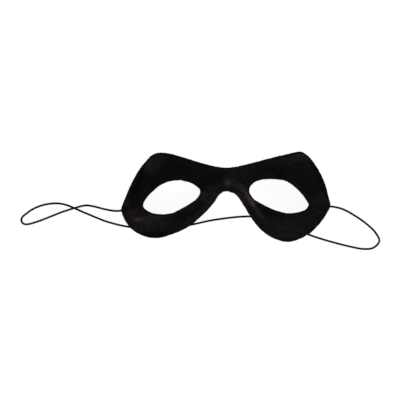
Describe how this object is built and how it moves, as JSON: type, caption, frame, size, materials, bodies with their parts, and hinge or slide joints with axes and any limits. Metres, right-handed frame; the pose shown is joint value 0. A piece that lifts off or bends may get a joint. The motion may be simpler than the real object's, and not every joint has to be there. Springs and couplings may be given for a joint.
{
  "type": "domino mask",
  "caption": "Plain moulded felt eye mask with a nose ridge and a thin elastic cord, lying face up with the cord laid loose.",
  "frame": {"origin": "on the surface that the mask lies on, under the middle of the mask's box without its cord", "axes": "+Z out of the mask's face, up from the surface; +Y towards the forehead edge; +X towards the right side of the mask as seen in the picture"},
  "size_m": [0.3101, 0.0847, 0.0311],
  "materials": {
    "felt": "matte black moulded felt with a short soft nap",
    "elastic": "black braided elastic",
    "thread": "black sewing thread"
  },
  "bodies": {
    "root": {"mask": "felt", "elastic_cord": "elastic", "left_tack": "thread", "right_tack": "thread"}
  },
  "joints": []
}
